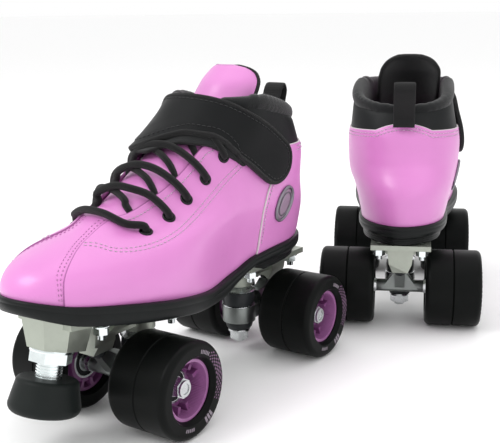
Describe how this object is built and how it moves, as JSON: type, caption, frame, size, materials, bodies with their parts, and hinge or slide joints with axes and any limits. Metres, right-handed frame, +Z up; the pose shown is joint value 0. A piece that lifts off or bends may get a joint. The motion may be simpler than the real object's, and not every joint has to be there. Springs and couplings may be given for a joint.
{
  "type": "quad roller skates",
  "caption": "Pair of low-cut quad roller skates: pink lace-up boots with a hook-and-loop ankle strap, leaning trucks, free wheels on two axles and an adjustable toe stop.",
  "frame": {"origin": "centre of the pair's footprint box on the floor", "axes": "+Z up; the left skate's toe points along -Y and its outer side along +X; the right skate stands behind it, turned 155 degrees"},
  "size_m": [0.209, 0.5693, 0.218],
  "materials": {
    "pink_leather": "smooth, soft sheen",
    "black_synthetic": "matte black synthetic leather",
    "black_lining": "soft knit lining",
    "webbing": "ribbed black webbing",
    "lace": "round braided black lace",
    "sole_rubber": "semi-gloss black sole",
    "footbed": "black footbed",
    "badge_metal": "brushed grey ring",
    "eyelet_metal": "black lacquered",
    "cast_metal": "satin die-cast",
    "dark_metal": "tumbled die-cast",
    "zinc_steel": "bright zinc plate",
    "axle_steel": "bright steel",
    "cushion": "black urethane",
    "stop_rubber": "black toe stop rubber",
    "tyre": "black urethane",
    "hub": "purple nylon"
  },
  "bodies": {
    "left_boot": {"left_sole": "sole_rubber", "left_upper": "pink_leather", "left_insole": "footbed", "left_heel_counter": "pink_leather", "left_collar": "black_lining", "left_tongue": "pink_leather", "left_pull_loop": "webbing", "left_badge": "badge_metal", "left_eyelets": "eyelet_metal", "left_laces": "lace", "left_base_fasteners": "zinc_steel", "left_kingpins": "zinc_steel", "left_cushions": "cushion", "left_front_base": "cast_metal", "left_rear_base": "cast_metal"},
    "left_front_truck": {"left_front_hanger": "dark_metal", "left_front_axle": "axle_steel"},
    "left_front_outer_wheel": {"left_front_outer_tyre": "tyre", "left_front_outer_hub": "hub"},
    "left_front_inner_wheel": {"left_front_inner_tyre": "tyre", "left_front_inner_hub": "hub"},
    "left_rear_truck": {"left_rear_hanger": "dark_metal", "left_rear_axle": "axle_steel"},
    "left_rear_outer_wheel": {"left_rear_outer_tyre": "tyre", "left_rear_outer_hub": "hub"},
    "left_rear_inner_wheel": {"left_rear_inner_tyre": "tyre", "left_rear_inner_hub": "hub"},
    "left_strap": {"left_strap": "black_synthetic"},
    "left_toe_stop": {"left_toe_stop": "stop_rubber", "left_toe_stop_stem": "zinc_steel"},
    "right_boot": {"right_sole": "sole_rubber", "right_upper": "pink_leather", "right_insole": "footbed", "right_heel_counter": "pink_leather", "right_collar": "black_lining", "right_tongue": "pink_leather", "right_pull_loop": "webbing", "right_badge": "badge_metal", "right_eyelets": "eyelet_metal", "right_laces": "lace", "right_base_fasteners": "zinc_steel", "right_kingpins": "zinc_steel", "right_cushions": "cushion", "right_front_base": "cast_metal", "right_rear_base": "cast_metal"},
    "right_front_truck": {"right_front_hanger": "dark_metal", "right_front_axle": "axle_steel"},
    "right_front_outer_wheel": {"right_front_outer_tyre": "tyre", "right_front_outer_hub": "hub"},
    "right_front_inner_wheel": {"right_front_inner_tyre": "tyre", "right_front_inner_hub": "hub"},
    "right_rear_truck": {"right_rear_hanger": "dark_metal", "right_rear_axle": "axle_steel"},
    "right_rear_outer_wheel": {"right_rear_outer_tyre": "tyre", "right_rear_outer_hub": "hub"},
    "right_rear_inner_wheel": {"right_rear_inner_tyre": "tyre", "right_rear_inner_hub": "hub"},
    "right_strap": {"right_strap": "black_synthetic"},
    "right_toe_stop": {"right_toe_stop": "stop_rubber", "right_toe_stop_stem": "zinc_steel"}
  },
  "joints": [
    {"name": "left front truck lean", "type": "hinge", "parent": "left_boot", "child": "left_front_truck", "pos_m": [-0.04, -0.2193, 0.05], "axis": [0, -0.9031, 0.4295], "range_deg": [-8, 8], "stiffness_Nm_per_rad": 40},
    {"name": "left front outer wheel spin", "type": "hinge", "parent": "left_front_truck", "child": "left_front_outer_wheel", "pos_m": [0.0025, -0.2023, 0.031], "axis": [1, 0, 0], "continuous": true},
    {"name": "left front inner wheel spin", "type": "hinge", "parent": "left_front_truck", "child": "left_front_inner_wheel", "pos_m": [-0.0825, -0.2023, 0.031], "axis": [1, 0, 0], "continuous": true},
    {"name": "left rear truck lean", "type": "hinge", "parent": "left_boot", "child": "left_rear_truck", "pos_m": [-0.04, -0.0233, 0.05], "axis": [0, 0.9031, 0.4295], "range_deg": [-8, 8], "stiffness_Nm_per_rad": 40},
    {"name": "left rear outer wheel spin", "type": "hinge", "parent": "left_rear_truck", "child": "left_rear_outer_wheel", "pos_m": [0.0025, -0.0403, 0.031], "axis": [1, 0, 0], "continuous": true},
    {"name": "left rear inner wheel spin", "type": "hinge", "parent": "left_rear_truck", "child": "left_rear_inner_wheel", "pos_m": [-0.0825, -0.0403, 0.031], "axis": [1, 0, 0], "continuous": true},
    {"name": "left strap open", "type": "hinge", "parent": "left_boot", "child": "left_strap", "pos_m": [-0.0855, -0.1003, 0.157], "axis": [0, 0.3956, 0.9184], "range_deg": [-75, 0], "stiffness_Nm_per_rad": 0.3},
    {"name": "left toe stop height", "type": "slide", "parent": "left_boot", "child": "left_toe_stop", "axis": [0, -0.2588, -0.9659], "range_m": [-0.006, 0.004], "stiffness_N_per_m": 20000},
    {"name": "right front truck lean", "type": "hinge", "parent": "right_boot", "child": "right_front_truck", "pos_m": [-0.04135, 0.22353, 0.05], "axis": [-0.3817, 0.8185, 0.4295], "range_deg": [-8, 8], "stiffness_Nm_per_rad": 40},
    {"name": "right front outer wheel spin", "type": "hinge", "parent": "right_front_truck", "child": "right_front_outer_wheel", "pos_m": [0.00435, 0.22608, 0.031], "axis": [0.9063, 0.4226, 0], "continuous": true},
    {"name": "right front inner wheel spin", "type": "hinge", "parent": "right_front_truck", "child": "right_front_inner_wheel", "pos_m": [-0.07268, 0.19016, 0.031], "axis": [0.9063, 0.4226, 0], "continuous": true},
    {"name": "right rear truck lean", "type": "hinge", "parent": "right_boot", "child": "right_rear_truck", "pos_m": [0.04149, 0.04589, 0.05], "axis": [0.3817, -0.8185, 0.4295], "range_deg": [-8, 8], "stiffness_Nm_per_rad": 40},
    {"name": "right rear outer wheel spin", "type": "hinge", "parent": "right_rear_truck", "child": "right_rear_outer_wheel", "pos_m": [0.07282, 0.07926, 0.031], "axis": [0.9063, 0.4226, 0], "continuous": true},
    {"name": "right rear inner wheel spin", "type": "hinge", "parent": "right_rear_truck", "child": "right_rear_inner_wheel", "pos_m": [-0.00422, 0.04334, 0.031], "axis": [0.9063, 0.4226, 0], "continuous": true},
    {"name": "right strap open", "type": "hinge", "parent": "right_boot", "child": "right_strap", "pos_m": [-0.03229, 0.09645, 0.157], "axis": [0.1672, -0.3586, 0.9184], "range_deg": [0, 75], "stiffness_Nm_per_rad": 0.3},
    {"name": "right toe stop height", "type": "slide", "parent": "right_boot", "child": "right_toe_stop", "axis": [-0.1094, 0.2346, -0.9659], "range_m": [-0.006, 0.004], "stiffness_N_per_m": 20000},
    {"name": "right skate lift", "type": "slide", "parent": "left_boot", "child": "right_boot", "axis": [0, 0, 1], "range_m": [0, 0.15]}
  ]
}
